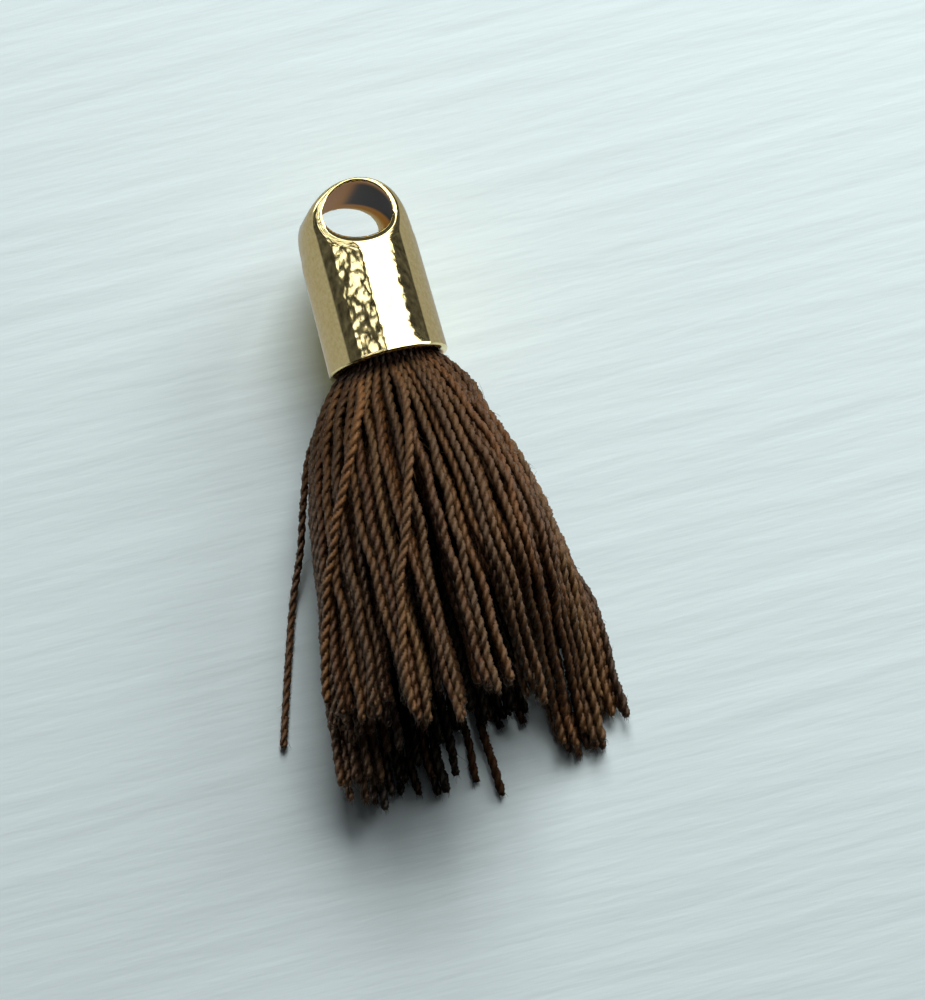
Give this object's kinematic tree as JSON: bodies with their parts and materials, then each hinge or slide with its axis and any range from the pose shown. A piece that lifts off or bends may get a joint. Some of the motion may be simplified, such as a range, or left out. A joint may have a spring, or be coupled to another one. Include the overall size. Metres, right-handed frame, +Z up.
{
  "type": "thread tassel",
  "caption": "Small cotton thread tassel lying on its skirt: a hollow gold-plated end cap with a round eye for a ring, and a bell of brown twisted threads cut off unevenly.",
  "frame": {"origin": "on the surface that the tassel lies on, under the middle of its bounding box", "axes": "+Y along the tassel from its cut end towards its cap, +Z up from the surface"},
  "size_m": [0.0162, 0.0298, 0.0083],
  "materials": {
    "gold_plate": "polished",
    "yarn": "matte"
  },
  "bodies": {
    "root": {"cap": "gold_plate", "skirt": "yarn"}
  },
  "joints": []
}
